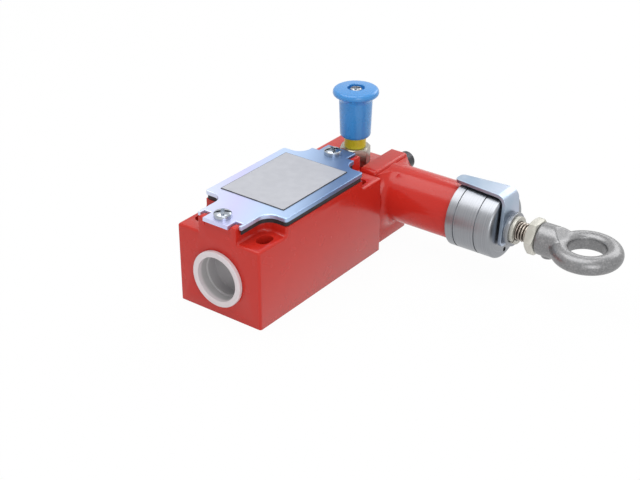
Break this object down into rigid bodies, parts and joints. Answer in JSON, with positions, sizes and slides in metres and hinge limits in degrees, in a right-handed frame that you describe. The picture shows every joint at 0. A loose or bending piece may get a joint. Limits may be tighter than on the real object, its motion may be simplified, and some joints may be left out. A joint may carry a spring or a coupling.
{
  "type": "rope pull switch",
  "caption": "Rope pull safety switch with a die-cast body, a sprung pull rod ending in a rope eye, a pointer over marked grooves and a reset knob.",
  "frame": {"origin": "middle of the four fixing slots, on the mounting face at the bottom of the body", "axes": "+X along the pull rod, the way the rope pulls; +Y from the cable entry to the head; +Z out of the mounting face, towards the cover and the reset knob"},
  "size_m": [0.1411, 0.1083, 0.0648],
  "materials": {
    "casing_paint": "gloss",
    "cover_zinc": "satin",
    "black_rubber": "matte",
    "bright_screw": "gloss",
    "dark_screw": "satin",
    "plug_plastic": "satin",
    "block_plastic": "matte",
    "carrier_plastic": "matte",
    "contact_brass": "satin",
    "turned_steel": "satin",
    "zinc_plate": "satin",
    "zinc_nut": "satin",
    "cast_eye": "matte",
    "spring_steel": "satin",
    "bush_brass": "satin",
    "collar_yellow": "gloss",
    "knob_blue": "gloss"
  },
  "bodies": {
    "housing": {"body_casing": "casing_paint", "cover_gasket": "black_rubber", "cover_plate": "cover_zinc", "cover_screws": "bright_screw", "entry_plug": "plug_plastic", "contact_block": "block_plastic", "terminal_clamps": "contact_brass", "terminal_screws": "bright_screw", "contact_block_screws": "bright_screw", "earth_screw": "bright_screw", "head_casting": "casing_paint", "head_gasket": "black_rubber", "head_screws": "dark_screw", "guide_sleeve": "turned_steel", "rod_seal": "black_rubber", "reset_bush": "bush_brass", "guide_collar": "collar_yellow", "contact_spring": "spring_steel", "pull_spring": "spring_steel"},
    "pull_rod": {"pull_rod": "turned_steel", "trip_cam": "turned_steel", "spring_plate": "turned_steel", "indicator_bracket": "zinc_plate", "rod_washer": "zinc_plate", "lock_ring": "dark_screw", "jam_nut": "zinc_nut", "pull_eye": "cast_eye"},
    "contact_plunger": {"plunger_pin": "turned_steel", "contact_carrier": "carrier_plastic", "contact_bridges": "contact_brass"},
    "reset_knob": {"reset_knob": "knob_blue", "knob_screw": "bright_screw", "reset_stem": "turned_steel", "stem_clip": "turned_steel", "reset_spring": "spring_steel"}
  },
  "joints": [
    {"name": "pull_slide", "type": "slide", "parent": "housing", "child": "pull_rod", "axis": [1, 0, 0], "range_m": [0, 0.018], "stiffness_N_per_m": 3000, "deforming": ["pull_spring"]},
    {"name": "plunger_slide", "type": "slide", "parent": "housing", "child": "contact_plunger", "axis": [0, -1, 0], "range_m": [0, 0.0027], "deforming": ["contact_spring"]},
    {"name": "reset_slide", "type": "slide", "parent": "housing", "child": "reset_knob", "axis": [0, 0, 1], "range_m": [-0.0035, 0], "stiffness_N_per_m": 600, "deforming": ["reset_spring"]}
  ],
  "couplings": [
    {"joint": "plunger_slide", "follows": "pull_slide", "ratio": 0.15}
  ]
}
